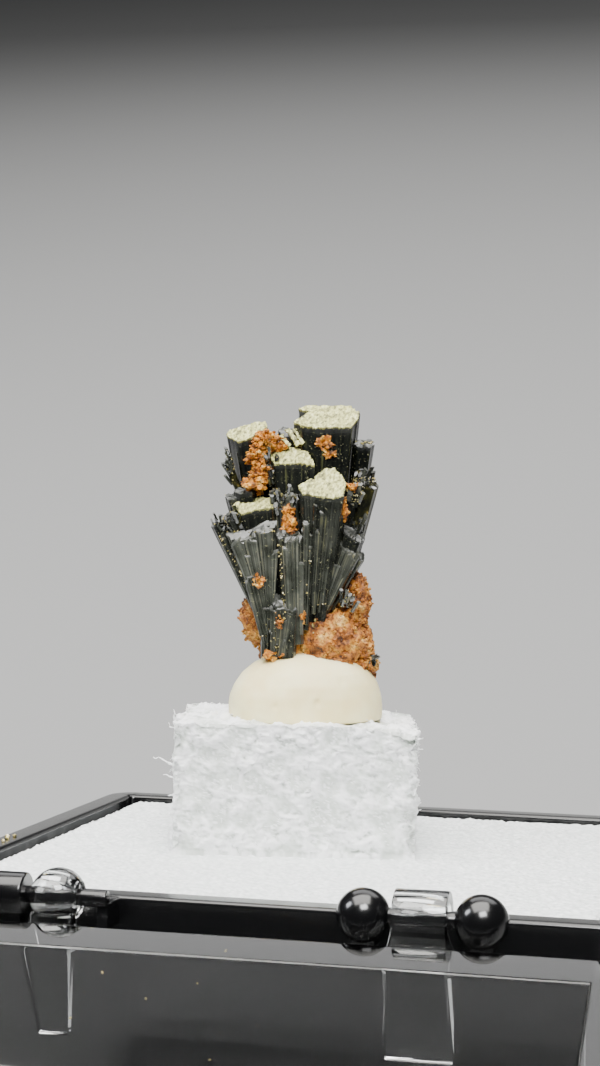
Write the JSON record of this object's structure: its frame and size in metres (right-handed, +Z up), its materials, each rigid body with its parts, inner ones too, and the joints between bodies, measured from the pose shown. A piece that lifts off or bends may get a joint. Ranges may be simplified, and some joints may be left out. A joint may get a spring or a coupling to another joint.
{
  "type": "epidote crystal specimen in a hinged display box",
  "caption": "Fan of dark striated epidote prisms on orange rock, set in putty on a foam block in a small black tray that hangs back from its upturned clear lid.",
  "frame": {"origin": "the middle of the lid's flat top, which the open box stands on", "axes": "+Z up, +Y from the lid towards the tray, +X along the hinge"},
  "size_m": [0.032, 0.0645, 0.038],
  "materials": {
    "epidote": "glassy striated dark green-black crystal with pale granular end faces",
    "orange_rock": "granular orange-brown, matte",
    "putty": "smooth ivory, waxy",
    "expanded_polystyrene": "white cut bead foam, matte",
    "foam_sheet": "white fine foam, matte",
    "black_polystyrene": "moulded black, glossy",
    "clear_polystyrene": "moulded clear, glossy"
  },
  "bodies": {
    "tray": {"tray": "black_polystyrene", "foam_liner": "foam_sheet", "foam_block": "expanded_polystyrene", "putty": "putty", "matrix": "orange_rock", "matrix_upper": "orange_rock", "epidote_crystals": "epidote"},
    "lid": {"lid": "clear_polystyrene"}
  },
  "joints": [
    {"name": "lid_hinge", "type": "hinge", "parent": "tray", "child": "lid", "pos_m": [0, 0.0175, 0.0264], "axis": [1, 0, 0], "range_deg": [-202, 0]}
  ]
}
